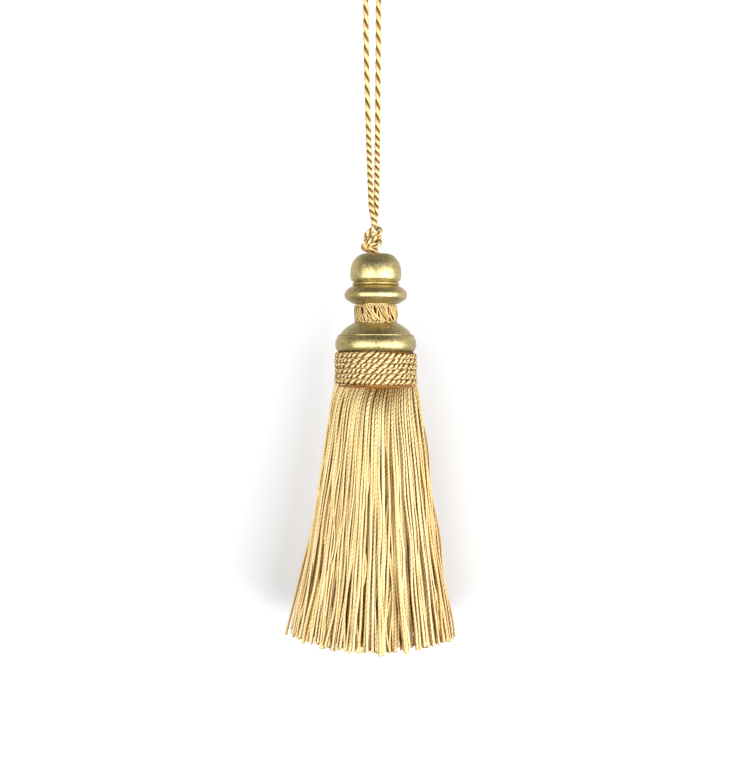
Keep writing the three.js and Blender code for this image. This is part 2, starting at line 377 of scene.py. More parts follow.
def add_node(
    tree: bpy.types.NodeTree, kind: str, links: dict | None = None, **settings: object
) -> bpy.types.Node:
    """Adds a shader node.

    Args:
        tree: The node tree.
        kind: The node's type, without "ShaderNode".
        links: What goes into its inputs: an output socket, or a plain value.
        **settings: The node's own properties.

    Returns:
        The new node.
    """
    node = tree.nodes.new("ShaderNode" + kind)
    for key, value in settings.items():
        setattr(node, key, value)
    for key, value in (links or {}).items():
        if isinstance(value, bpy.types.NodeSocket):
            tree.links.new(value, node.inputs[key])
        else:
            node.inputs[key].default_value = value
    return node


def new_material(name: str) -> tuple[bpy.types.Material, bpy.types.NodeTree, bpy.types.Node]:
    """A material with an empty tree but for its principled shader and output.

    Args:
        name: The material's name.

    Returns:
        The material, its node tree and the principled shader.
    """
    material = bpy.data.materials.new(name)
    material.use_nodes = True
    tree = material.node_tree
    tree.nodes.clear()
    shader = add_node(tree, "BsdfPrincipled")
    add_node(tree, "OutputMaterial", {"Surface": shader.outputs["BSDF"]})
    return material, tree, shader


@dataclass(frozen=True)
class SilkThread:
    """Dyed silk thread: a gleam and painted highlight on each crest, and painted brown shade between
    plies.

    A piece's marks give "shade", how pale each thread is, which on plied cords holds a painted crest
    highlight,
    "groove", how deep a place lies among the threads, where shade is painted, and "open", where the twist
    has opened out, so that its lines fade and the painted shade turns warmer.

    Attributes:
        name: The material's name.
        light: The colour of the palest threads.
        body: The colour of the most deeply dyed threads.
        shade: The painted shade colour down between plies and threads.
        lay: Which way the lines of the surface wind round it.
        wind_pitch: The length in which they wind once round it, in mm.
        lines: Lines that show round the surface.
        relief: The height of the lines, in mm.
        line_shade: How far the lines darken the colour, as painted shade in the dips of the twist.
        roughness: How far the gleam spreads on a crest.
        gleam: The share of light that the fibres mirror in their own colour.
        tint: The colour of the gleam, which has passed through the dyed fibres.
        gloss: How much the skin of the fibres mirrors, 0.5 for a bare one.
        gap: The warmer painted shade between threads that have opened out, as light through their fibres.
        blotches: Uneven patches of dye in each metre, about 2 mm each.
        blotch_weight: How much the patches count beside each thread's own shade.
        palest: The level of patch and shade together that shows the light colour.
        deepest: The level that shows the body colour.
        line_edge: How narrow a line is beside the crest, above 1.
        groove_edge: How soon the painted shade in a groove darkens from its lips, below 1.
        warming: How soon the gap's colour takes over the painted shade as the twist opens out.
        groove_roughness: How far the gleam spreads down in a groove.
        index: The refractive index of silk.
    """

    name: str
    light: str
    body: str
    shade: str
    lay: Lay
    wind_pitch: float
    lines: int
    relief: float
    line_shade: float = 0.4
    roughness: float = 0.36
    gleam: float = 0.3
    tint: str = "#f7d795"
    gloss: float = 0.35
    gap: str = "#905408"
    blotches: float = 480.0
    blotch_weight: float = 0.9
    palest: float = 1.5
    deepest: float = 0.1
    line_edge: float = 2.5
    groove_edge: float = 0.65
    warming: float = 2.0
    groove_roughness: float = 0.75
    index: float = 1.54

    def winding(self, tree: bpy.types.NodeTree) -> bpy.types.NodeSocket:
        """The lines of the twist: a sine of the turns round the thread and the pitches along it.

        Args:
            tree: The material's node tree.

        Returns:
            A value from 0 in the dips to 1 on the crests.
        """
        uv = add_node(tree, "UVMap", uv_map="lay").outputs["UV"]
        parts = add_node(tree, "SeparateXYZ", {"Vector": uv})
        advance = self.lay.value / self.wind_pitch
        wound = add_node(tree, "Math", {0: parts.outputs["X"], 1: advance, 2: parts.outputs["Y"]},
                         operation="MULTIPLY_ADD")
        phase = add_node(tree, "Math", {0: wound.outputs[0], 1: TURN * self.lines}, operation="MULTIPLY")
        wave = add_node(tree, "Math", {0: phase.outputs[0]}, operation="SINE")
        return add_node(tree, "MapRange", {"Value": wave.outputs[0], "From Min": -1.0}).outputs[0]

    def colour(self, tree: bpy.types.NodeTree) -> bpy.types.NodeSocket:
        """The dye and painted crest highlight: from body to light by each thread's shade and the patches
        together.

        Args:
            tree: The material's node tree.

        Returns:
            The colour on the crests.
        """
        place = add_node(tree, "TexCoord").outputs["Object"]
        blotch = add_node(tree, "TexNoise", {"Vector": place, "Scale": self.blotches, "Detail": 4.0,
                                             "Roughness": 0.65}).outputs["Fac"]
        shade = add_node(tree, "Attribute", attribute_name="shade").outputs["Fac"]
        mixed = add_node(tree, "Math", {0: blotch, 1: self.blotch_weight, 2: shade},
                         operation="MULTIPLY_ADD")
        level = add_node(tree, "MapRange", {"Value": mixed.outputs[0], "From Min": self.deepest,
                                            "From Max": self.palest})
        dyed = add_node(tree, "Mix", {"Factor": level.outputs[0], "A": srgb(self.body),
                                      "B": srgb(self.light)}, data_type="RGBA")
        return dyed.outputs["Result"]

    def build(self) -> bpy.types.Material:
        """The material: dyed crests, painted shade in the grooves and lines, and a bump where the lines
        stand out.

        Returns:
            The new material.
        """
        material, tree, shader = new_material(self.name)
        height = self.winding(tree)
        opened = add_node(tree, "Attribute", attribute_name="open").outputs["Fac"]
        tight = add_node(tree, "MapRange", {"Value": opened, "To Min": 1.0, "To Max": 0.0}).outputs[0]
        # Painted shade in the dips of the twist's lines, fading where the twist has opened out.
        dip = add_node(tree, "Math", {0: 1.0, 1: height}, operation="SUBTRACT")
        sharp = add_node(tree, "Math", {0: dip.outputs[0], 1: self.line_edge}, operation="POWER")
        line = add_node(tree, "Math", {0: sharp.outputs[0], 1: tight}, operation="MULTIPLY")
        # Painted shade down in the grooves by the "groove" mark, added to the lines' painted shade.
        groove = add_node(tree, "Attribute", attribute_name="groove").outputs["Fac"]
        deep = add_node(tree, "Math", {0: groove, 1: self.groove_edge}, operation="POWER")
        low = add_node(tree, "Math", {0: line.outputs[0], 1: self.line_shade, 2: deep.outputs[0]},
                       operation="MULTIPLY_ADD", use_clamp=True)
        # The painted shade's colour, turning warmer where the twist has opened out.
        parted = add_node(tree, "Math", {0: opened, 1: self.warming}, operation="MULTIPLY")
        core = add_node(tree, "Mix", {"Factor": parted.outputs[0], "A": srgb(self.shade),
                                      "B": srgb(self.gap)}, data_type="RGBA")
        tone = add_node(tree, "Mix", {"Factor": low.outputs[0], "A": self.colour(tree),
                                      "B": core.outputs["Result"]}, data_type="RGBA")
        bump = add_node(tree, "Bump", {"Height": height, "Distance": self.relief * MM, "Strength": tight})
        dull = add_node(tree, "MapRange", {"Value": deep.outputs[0], "To Min": self.roughness,
                                           "To Max": self.groove_roughness})
        tree.links.new(dull.outputs[0], shader.inputs["Roughness"])
        tree.links.new(tone.outputs["Result"], shader.inputs["Base Color"])
        tree.links.new(bump.outputs["Normal"], shader.inputs["Normal"])
        shader.inputs["Metallic"].default_value = self.gleam
        shader.inputs["Specular IOR Level"].default_value = self.gloss
        shader.inputs["IOR"].default_value = self.index
        shader.inputs["Specular Tint"].default_value = srgb(self.tint)
        return material


@dataclass(frozen=True)
class GoldPaint:
    """Metallic gold paint on turned wood, brushed or sprayed on: satin, with the sparkle of its flakes.

    The flakes are finer than they are drawn here, which is as coarse as they need to show.

    Attributes:
        name: The material's name.
        flake: The colour of the flakes face on.
        binder: The darker olive between the flakes.
        grain: The size of the grain, in mm.
        clouds: Broad clouds of paint in each metre, about 11 mm each.
        cloud_weight: How much the clouds count beside the grain.
        bare: The level of grain and clouds together that shows the binder.
        full: The level that shows the flakes.
        smoothest: How far the gleam spreads on a flake.
        roughest: How far it spreads between the flakes.
        relief: The height of the grain, in mm.
        gleam: The share of light that the flakes mirror.
    """

    name: str = "satin metallic gold paint on turned wood"
    flake: str = "#c8b986"
    binder: str = "#857444"
    grain: float = 0.65
    clouds: float = 90.0
    cloud_weight: float = 0.4
    bare: float = 0.46
    full: float = 0.86
    smoothest: float = 0.32
    roughest: float = 0.44
    relief: float = 0.05
    gleam: float = 0.95

    def build(self) -> bpy.types.Material:
        """The material: flakes and binder by a fine noise, with the same noise as its bump.

        Returns:
            The new material.
        """
        material, tree, shader = new_material(self.name)
        place = add_node(tree, "TexCoord").outputs["Object"]
        fine = add_node(tree, "TexNoise", {"Vector": place, "Scale": 1 / (self.grain * MM), "Detail": 4.0,
                                           "Roughness": 0.6}).outputs["Fac"]
        broad = add_node(tree, "TexNoise", {"Vector": place, "Scale": self.clouds, "Detail": 2.0})
        level = add_node(tree, "Math", {0: broad.outputs["Fac"], 1: self.cloud_weight, 2: fine},
                         operation="MULTIPLY_ADD")
        share = add_node(tree, "MapRange", {"Value": level.outputs[0], "From Min": self.bare,
                                            "From Max": self.full})
        colour = add_node(tree, "Mix", {"Factor": share.outputs[0], "A": srgb(self.binder),
                                        "B": srgb(self.flake)}, data_type="RGBA")
        rough = add_node(tree, "MapRange", {"Value": fine, "From Min": 0.3, "From Max": 0.7,
                                            "To Min": self.smoothest, "To Max": self.roughest})
        bump = add_node(tree, "Bump", {"Height": fine, "Distance": self.relief * MM, "Strength": 1.0})
        tree.links.new(colour.outputs["Result"], shader.inputs["Base Color"])
        tree.links.new(rough.outputs[0], shader.inputs["Roughness"])
        tree.links.new(bump.outputs["Normal"], shader.inputs["Normal"])
        shader.inputs["Metallic"].default_value = self.gleam
        return material


# Filament silk laid into two plies and twisted: smooth and glossy, so the crests gleam pale with a
# painted highlight and the twist reads as fine brown lines of painted shade. The cord is tight, so the
# shade painted in its grooves is a deep brown.
CORD_SILK = SilkThread(
    name="twisted silk cord", light="#e6cc94", body="#be9650", shade="#442604", lay=Lay.S,
    wind_pitch=11.0, lines=22, relief=0.04, line_shade=0.4, roughness=0.34,
)

# A like cord, wound side by side: its plies lie steeper, and fewer, coarser lines show on them.
BAND_SILK = SilkThread(
    name="wound silk cord", light="#eed6a0", body="#c29c5b", shade="#5a3408", lay=Lay.S,
    wind_pitch=4.2, lines=6, relief=0.08, line_shade=0.58, roughness=0.34,
)

# Softly twisted yarn of many fibres: paler and duller than the cord, its gleam in the colour of the dye,
# and a warm colour painted into the shade of the gaps where it has opened out, as light through its
# fibres.
YARN_SILK = SilkThread(
    name="twisted silk yarn", light="#f4e2ae", body="#cfb06c", shade="#74501e", lay=Lay.S,
    wind_pitch=3.2, lines=2, relief=0.1, line_shade=0.5, roughness=0.42, gleam=0.28, gloss=0.12,
    gap="#804606",
)

# Fine wrapped cords, sewn down close together: glossy ridges with dark eyes between them, where the
# ground behind is painted in shade.
GIMP_SILK = SilkThread(
    name="silk gimp cord", light="#efd59c", body="#bd9552", shade="#4a2a06", lay=Lay.S,
    wind_pitch=1.6, lines=2, relief=0.08, line_shade=0.6, roughness=0.38,
)

# Plain spun sewing thread: brown and matt, with no gleam of its own.
BROWN_THREAD = SilkThread(
    name="brown binding thread", light="#ad7a44", body="#845428", shade="#48280e", lay=Lay.Z,
    wind_pitch=1.0, lines=2, relief=0.06, line_shade=0.7, roughness=0.6, gleam=0.0,
)


# ---------------------------------------------------------------- sub-assemblies


@dataclass(frozen=True)
class Place:
    """Where a CAD node stands, in millimetres: its middle and its lowest and highest level."""

    x: float
    y: float
    low: float
    high: float

    @classmethod
    def of(cls, node: str) -> "Place":
        """The place of a node, from the box of its solids.

        Args:
            node: The node's name.

        Returns:
            Its place.
        """
        low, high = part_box(node)
        middle = [(a + b) / 2 / MM for a, b in zip(low, high)]
        return cls(middle[0], middle[1], low[2] / MM, high[2] / MM)


def dress(
    piece: bpy.types.Object, material: bpy.types.Material, slot: str, *nodes: str
) -> bpy.types.Object:
    """Gives a piece its material, stands it for its CAD nodes and makes it ride.

    Args:
        piece: The piece.
        material: What it is made of.
        slot: The name under which its finish can be changed. It is not used.
        *nodes: The CAD nodes that it replaces, if any.

    Returns:
        The piece.
    """
    piece.data.materials.append(material)
    if nodes:
        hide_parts(*nodes)
    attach(piece, "root")
    log.info("%s: %d faces", piece.name, len(piece.data.polygons))
    return piece


@dataclass
class CordLoop:
    """The doubled hanging cord and the knot that ties its legs together above the head.

    Attributes:
        diameter: The cord's thickness.
        knot_diameter: Its thickness where the knot draws it tight.
        draw_length: The length over which it thins into the knot.
        ply_depth: How deep the grooves between the plies are, as a share of the radius.
        lay: Which way the plies slant.
        loose_pitch: The length of a full turn of the plies in the free legs.
        tight_pitch: The same near the knot.
        knot_pitch: The same in the knot.
        tight_below: The level under which the twist is tight.
        loose_above: The level over which it is loose.
        step: The spacing of the rings along the cord.
        around: Points round the cord.
        route: The loop's middle line, from the knot up one leg, over the bight and down the other.
        knot_routes: The middle lines of the two legs in the knot, down to their ends in the head.
    """

    diameter: float = 2.3
    knot_diameter: float = 1.95
    draw_length: float = 3.0
    ply_depth: float = 0.68
    lay: Lay = Lay.S
    loose_pitch: float = 10.0
    tight_pitch: float = 5.6
    knot_pitch: float = 4.8
    tight_below: float = -76.0
    loose_above: float = -64.0
    step: float = 0.35
    around: int = 32
    route: tuple = (
        (0.85, -1.25, -106.8), (0.65, -1.25, -105.0), (-0.1, -1.0, -101.5), (-0.4, -0.65, -98.0),
        (-0.6, -0.35, -93.0), (-0.95, -0.2, -83.1), (-1.45, -0.1, -68.5), (-1.75, 0, -56.1),
        (-2.1, 0, -43.8), (-2.25, 0, -32.0), (-2.4, 0, -22.0), (-3.1, 0, -15.0), (-4.1, 0, -9.0),
        (-4.7, 0, -3.55), (-3.32, 0, -0.23), (0, 0, 1.15), (3.32, 0, -0.23), (4.7, 0, -3.55),
        (4.1, 0, -9.0), (3.15, 0, -15.0), (2.5, 0, -22.0), (2.4, 0, -32.0), (2.35, 0, -43.8),
        (2.2, 0, -56.1), (2.1, 0.1, -68.5), (1.9, 0.2, -83.1), (1.75, 0.35, -93.0), (1.65, 0.65, -98.0),
        (1.45, 1.0, -101.5), (1.05, 1.25, -105.0), (0.85, 1.25, -106.8),
    )
    knot_routes: tuple = (
        ((0.85, -1.25, -106.8), (0.3, -1.5, -107.9), (-0.9, -1.5, -109.0), (-2.1, -0.9, -110.2),
         (-2.5, 0.1, -111.5), (-1.8, 1.2, -112.6), (0.2, 1.8, -112.8), (2.2, 1.3, -112.0),
         (3.0, 0.1, -111.2), (2.3, -1.3, -110.8), (0.7, -2.0, -111.6), (-0.9, -2.0, -112.7),
         (-2.5, -1.3, -113.6), (-3.3, -0.2, -114.6), (-2.7, 0.8, -115.6), (-1.5, 0.3, -115.4),
         (-1.0, -0.9, -115.0), (-0.3, -1.3, -115.8), (0.4, -1.1, -117.0), (0.7, -0.9, -119.5),
         (0.7, -0.8, -124.6)),
        ((0.85, 1.25, -106.8), (1.5, 1.2, -107.5), (2.5, 0.4, -107.8), (3.1, -0.5, -108.5),
         (2.9, -1.1, -109.5), (1.8, -1.5, -109.9), (0.4, -1.5, -109.7), (-0.7, -0.8, -110.3),
         (-0.8, 0.4, -111.2), (0.2, 0.9, -111.8), (1.8, 0.5, -112.0), (2.8, -0.2, -112.6),
         (2.7, -0.9, -113.6), (1.7, -1.4, -114.2), (0.3, -1.7, -113.8), (-1.3, -1.6, -114.0),
         (-2.2, -0.9, -114.9), (-1.6, 0.1, -115.9), (-0.2, -0.1, -115.6), (0.9, -0.8, -115.4),
         (1.7, -1.0, -116.6), (2.2, -0.8, -118.2), (2.3, -0.4, -124.6)),
    )

    def build(self, silk: bpy.types.Material) -> None:
        """Args:
            silk: The cord's material.
        """
        knot = dress(self.knot(), silk, "silk_cord", "cord_knot")
        path = curve_through(np.array(self.route, float), self.step)
        loop = dress(self.loop(path), silk, "silk_cord", "cord_loop")

    def loop(self, path: Array) -> bpy.types.Object:
        """The cord up one leg, over the bight and down the other, its twist tighter near the knot.

        The plies have turned by the sum of each step along the path over the pitch at its level.

        Args:
            path: The cord's middle line.

        Returns:
            The loop's piece.
        """
        loose = ease(path[:, 2], self.tight_below, self.loose_above)
        pitch = self.tight_pitch + (self.loose_pitch - self.tight_pitch) * loose
        turns = self.lay.value * np.cumsum(TURN * np.gradient(lengths_along(path)) / pitch)
        radius = np.full((1, len(path)), self.diameter / 2)
        side = np.array([[1.0, 0.0, 0.0]])
        tubes = plied_cord(path[None], radius, turns[None], side, self.around, self.ply_depth)
        return tube_object("cord_loop_twist", tubes)

    def knot(self) -> bpy.types.Object:
        """The two legs of the cord tied together: each winds through the knot and down into the head.

        Returns:
            The knot's piece.
        """
        curves = [curve_through(np.array(route), self.step / 2) for route in self.knot_routes]
        rings = max(len(curve) for curve in curves)
        paths = np.stack([
            spaced(curve, lengths_along(curve)[-1] / (rings - 1))[:rings] for curve in curves
        ])
        steps = np.array([lengths_along(path)[-1] / (rings - 1) for path in paths])[:, None]
        turns = self.lay.value * np.arange(rings)[None, :] * steps / self.knot_pitch * TURN
        drawn = ease(np.arange(rings) * steps, 0.0, self.draw_length)
        radius = (self.diameter + (self.knot_diameter - self.diameter) * drawn) / 2
        sides = np.repeat([[1.0, 0.0, 0.0]], 2, axis=0)
        tubes = plied_cord(paths, radius, turns, sides, self.around, self.ply_depth)
        return tube_object("cord_knot_wraps", tubes)


@dataclass
class Head:
    """The turned head: ball, bead, disc, neck and bell, with the cord's hole in its top.

    Attributes:
        segments: Columns round the head.
        bore_radius: The radius of the cord's hole.
        bore_depth: How deep the hole is.
        lip: How far the hole's edge is broken.
        neck_radius: The radius of the neck under the gimp.
        height: From the bell's foot to the ball's top.
        sample: The spacing of points along the outline.
        crisp: The angle in degrees from which an edge between mouldings stays sharp.
    """

    segments: int = 224
    bore_radius: float = 2.6
    bore_depth: float = 8.0
    lip: float = 0.4
    neck_radius: float = 6.9
    height: float = 36.9
    sample: float = 0.22
    crisp: float = 28.0

    def mouldings(self) -> list[list[tuple[float, float]]]:
        """The mouldings from the bell's foot up, each a smooth curve.

        Returns:
            The points of each moulding, as height over the foot and radius.
        """
        return [
            # The bell: its rounded foot, a fillet, and the slope up to the neck.
            [(0, 14.0), (0.8, 14.7), (2.3, 15.2), (4.2, 15.05), (5.9, 14.35)],
            [(5.95, 14.1), (6.2, 14.3), (6.45, 14.1)],
            [(6.5, 13.5), (7.7, 12.7), (9.2, 11.2), (10.9, 8.5)],
            # The neck.
            [(11.0, self.neck_radius), (18.0, self.neck_radius)],
            # The disc: its sloping underside, and its rounded rim that falls in to the bead.
            [(18.1, 8.5), (18.8, 9.7), (19.5, 10.7)],
            [(19.6, 11.0), (20.3, 11.55), (21.3, 11.8), (22.3, 11.65), (23.5, 10.8), (24.9, 8.7)],
            # The bead.
            [(24.95, 8.3), (25.15, 8.6), (25.6, 8.95), (26.05, 8.6), (26.25, 8.3)],
            # The ball.
            [(26.3, 8.5), (27.3, 9.35), (29.4, 9.6), (31.7, 9.4), (33.7, 8.8), (35.3, 7.6), (36.3, 6.5),
             (self.height, 5.2)],
        ]

    def build(self, paint: bpy.types.Material) -> None:
        """Turns the head's outline and paints it.

        Args:
            paint: The head's material.
        """
        place = Place.of("head")
        outline = [np.array([[0.0, 0.0]])]
        for moulding in self.mouldings():
            flat = np.array([(radius, height, 0.0) for height, radius in moulding])
            outline.append(curve_through(flat, self.sample)[:, :2])
        floor = self.height - self.bore_depth
        outline.append(np.array([
            (self.bore_radius + self.lip, self.height), (self.bore_radius, self.height - self.lip),
            (self.bore_radius, floor), (0.0, floor),
        ]))
        profile = np.concatenate(outline)
        profile[:, 1] += place.low
        head = lathe_object("head_turned", profile, self.segments, (place.x, place.y))
        head.data.set_sharp_from_angle(angle=math.radians(self.crisp))
        dress(head, paint, "gold_paint", "head")


@dataclass
class NeckGimp:
    """The gimp braid round the neck: columns of fine slanting cords with dark eyes between, and edges.

    The real cords are finer, and are drawn as coarse as they need to show. The dark eyes between the
    columns show the ground, which is painted in shade. Angles are in radians.

    Attributes:
        columns: Columns round the neck.
        cords: Cords side by side in a column.
        cord_diameter: A cord's thickness.
        cord_rings: Rings along a cord.
        cord_around: Points round a cord.
        core: The radius of the ground that the cords are sewn to.
        seat: How far above the ground a column's sides lie.
        column_width: The width of a column.
        column_depth: How far its front stands out over its sides.
        foot_spread: By what share a column is wider in its lower half.
        top_spread: By what share it is wider at its top.
        sink: How far behind a column's middle a cord may turn, as a share of its depth.
        fan: How far round the column the outermost cords lie.
        slant: How far round the column a cord slants as it falls.
        sway: How far a cord sways on its way.
        scatter: How much the cords differ in bearing, and in depth.
        top_margin: How far below the node's top the cords start.
        foot_margin: How far above its foot they end.
        painted_side_shade: How dark the cords are painted at their sides, as shade.
        edge_diameter: The thickness of the two edge cords.
        edge_pitch: The length of a full turn of their plies.
        edge_rings: Rings along an edge cord.
        edge_around: Points round an edge cord.
        edge_level: How far above the node's top and foot the edges lie.
        edge_out: How far they stand out from the ground.
        eye_level: How far each edge rises between two columns in front.
        eye_out: How far it stands out there.
        eye_reach: How far round from the front the edges still move so.
        lay: Which way their plies slant.
        sways: The fewest and most times that a cord sways on its way.
        level_scatter: How much the cords' levels differ.
        sizes: The smallest and largest cord, as a share of its thickness.
        ground_columns: Columns round the ground.
        ground_around: Points round its section.
        ground_half: Half its thickness.
        ground_share: Half its height, as a share of the node's.
        seed: Starts the random draws.
    """

    columns: int = 9
    cords: int = 11
    cord_diameter: float = 0.5
    cord_rings: int = 30
    cord_around: int = 8
    core: float = 7.05
    seat: float = 0.15
    column_width: float = 4.0
    column_depth: float = 0.85
    foot_spread: float = 0.35
    top_spread: float = 0.25
    sink: float = 0.2
    fan: float = 1.2
    slant: float = 1.5
    sway: float = 0.1
    scatter: float = 0.07
    top_margin: float = 0.3
    foot_margin: float = 0.2
    painted_side_shade: float = 0.7
    edge_diameter: float = 0.8
    edge_pitch: float = 1.9
    edge_rings: int = 520
    edge_around: int = 12
    edge_level: tuple[float, float] = (-0.4, 0.1)
    edge_out: tuple[float, float] = (0.6, 0.7)
    eye_level: tuple[float, float] = (0.1, -0.5)
    eye_out: tuple[float, float] = (-0.2, 0.95)
    eye_reach: float = 0.6
    lay: Lay = Lay.S
    sways: tuple[float, float] = (0.6, 1.6)
    level_scatter: float = 0.1
    sizes: tuple[float, float] = (0.8, 1.15)
    ground_columns: int = 96
    ground_around: int = 12
    ground_half: float = 0.12
    ground_share: float = 0.42
    seed: int = 5

    def build(self, silk: bpy.types.Material) -> None:
        """Makes the columns, their two edges and the ground that they are sewn to.

        Args:
            silk: The gimp's material.
        """
        place = Place.of("neck_gimp")
        random = np.random.default_rng(self.seed)
        dress(tube_object("gimp_columns", self.braid(place, random)), silk, "silk_gimp", "neck_gimp")
        dress(tube_object("gimp_edges", self.edges(place)), silk, "silk_gimp")
        dress(tube_object("gimp_ground", self.ground(place)), silk, "silk_gimp")

    def braid(self, place: Place, random: np.random.Generator) -> Tubes:
        """The cords: each runs down the rounded front of its column, slanting round it as it falls.

        A cord's bearing in its column is its seat times the fan, plus the slant as it falls, plus a
        small sway. It lies as far out as the cosine of that bearing, and as far aside as its sine. The
        column is full in the middle of its height and thinner at both ends.

        Args:
            place: Where the gimp stands.
            random: The source of the cords' differences.

        Returns:
            The cords' tubes.
        """
        count = self.columns * self.cords
        t = np.linspace(0, 1, self.cord_rings)[None, :]
        column = np.repeat(np.arange(self.columns) + 0.5, self.cords)[:, None]
        seat = np.tile(np.linspace(-1, 1, self.cords), self.columns)[:, None]
        each = (count, 1)
        sways = random.uniform(*self.sways, each)
        wobble = self.sway * np.sin(TURN * (sways * t + random.random(each)))
        own = random.normal(0, self.scatter, each)
        turn = self.fan * seat + self.slant * (t - 0.5) + own + wobble
        full = np.sin(np.pi * (0.08 + 0.84 * t)) ** 0.7
        spread = self.foot_spread * ease(t, 0.45, 0.8) + self.top_spread * ease(t, 0.22, 0.05)
        width = self.column_width * (1 + spread)
        out = self.core + self.seat + self.column_depth * np.maximum(np.cos(turn), -self.sink) * full
        out = out + random.normal(0, self.scatter, each)
        angle = column / self.columns * TURN - TURN / 4 + width / 2 * np.sin(turn) / self.core
        drop = place.high - place.low - self.top_margin - self.foot_margin
        level = place.high - self.top_margin - drop * t + random.normal(0, self.level_scatter, each)
        paths = polar(out, angle, level) + [place.x, place.y, 0]
        thickness = self.cord_diameter / 2 * random.uniform(*self.sizes, each)
        first = polar(np.ones(count), angle[:, 0], np.zeros(count))
        tubes = plied_cord(paths, np.broadcast_to(thickness, out.shape), np.zeros(out.shape), first,
                           self.cord_around, depth=0.0)
        tubes.along = tubes.along + random.uniform(0, 9, each)
        # Painted shade on each cord's sides, as its "groove" mark.
        sides = self.painted_side_shade * flank(np.arange(self.cord_around) / self.cord_around * TURN)
        grid = tubes.points.shape[:3]
        tubes.marks = {
            "shade": np.broadcast_to(random.random((count, 1, 1)), grid),
            "groove": np.broadcast_to(sides, grid),
        }
        return tubes

    def edges(self, place: Place) -> Tubes:
        """The cords along the top and the foot, whose ends meet at the back.

        Each moves up and out as the cosine of the columns round it, which fades away from the front.

        Args:
            place: Where the gimp stands.

        Returns:
            The tubes of the two edges, the top one first.
        """
        # From a quarter turn, which is the back, past the front at three quarters, and round again.
        angle = np.tile(np.linspace(0.25, 1.25, self.edge_rings) * TURN, (2, 1))
        fade = np.exp(-(((angle - 0.75 * TURN) / self.eye_reach) ** 2))
        eye = np.cos(self.columns * (angle + TURN / 4)) * fade
        base = np.array([[place.high], [place.low]]) + np.array(self.edge_level)[:, None]
        level = base + np.array(self.eye_level)[:, None] * eye
        out = self.core + np.array(self.edge_out)[:, None] + np.array(self.eye_out)[:, None] * eye
        paths = polar(out, angle, level) + [place.x, place.y, 0]
        turns = self.lay.value * angle * self.core / self.edge_pitch * TURN
        thickness = np.full(angle.shape, self.edge_diameter / 2)
        up = np.repeat([[0.0, 0.0, 1.0]], 2, axis=0)
        return plied_cord(paths, thickness, turns, up, self.edge_around, depth=0.5)

    def ground(self, place: Place) -> Tubes:
        """The flat ground behind the cords, painted all in shade: a ring whose section is a tall, thin
        ellipse.

        Args:
            place: Where the gimp stands.

        Returns:
            The ground's tube.
        """
        angle = np.arange(self.ground_columns) / self.ground_columns * TURN
        edge = np.linspace(0, TURN, self.ground_around, endpoint=False)
        half_height = self.ground_share * (place.high - place.low)
        out = self.core + self.ground_half * np.cos(edge)
        height = (place.low + place.high) / 2 + half_height * np.sin(edge)
        points = polar(out[None, None, :], angle[None, :, None], height[None, None, :])
        points = points + [place.x, place.y, 0]
        along = np.arange(self.ground_columns)[None, :] * 0.5
        # Its "groove" mark is full everywhere, so it is painted all in the shade colour.
        return Tubes(points[:, ::-1], along, {"groove": np.ones(points.shape[:3])}, closed=True)


